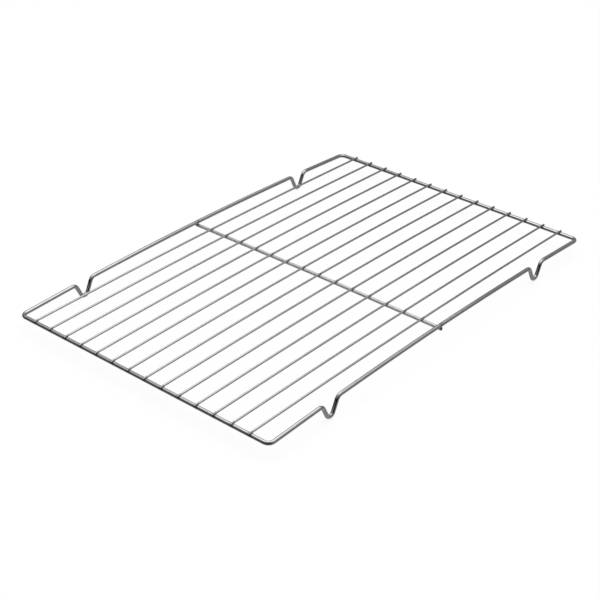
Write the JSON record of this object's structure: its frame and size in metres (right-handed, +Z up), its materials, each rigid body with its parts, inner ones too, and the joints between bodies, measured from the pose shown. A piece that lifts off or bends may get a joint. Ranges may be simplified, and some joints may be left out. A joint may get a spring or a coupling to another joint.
{
  "type": "cooling rack",
  "caption": "Rectangular wire cooling rack: rim wire with feet bent down from its long sides, parallel grid wires on top and a cross bar underneath.",
  "frame": {"origin": "centre of the rack on the table plane, at the bottom of the feet", "axes": "+X along the grid wires (length), +Y along the cross bar (width), +Z up through the deck"},
  "size_m": [0.4582, 0.305, 0.0216],
  "materials": {
    "frame_wire": "bright plated",
    "cross_bar": "bright plated",
    "grid_wire": "bright plated"
  },
  "bodies": {
    "root": {"frame_wire": "frame_wire", "cross_bar": "cross_bar", "grid_wire_01": "grid_wire", "grid_wire_02": "grid_wire", "grid_wire_03": "grid_wire", "grid_wire_04": "grid_wire", "grid_wire_05": "grid_wire", "grid_wire_06": "grid_wire", "grid_wire_07": "grid_wire", "grid_wire_08": "grid_wire", "grid_wire_09": "grid_wire", "grid_wire_10": "grid_wire", "grid_wire_11": "grid_wire", "grid_wire_12": "grid_wire", "grid_wire_13": "grid_wire", "grid_wire_14": "grid_wire"}
  },
  "joints": []
}
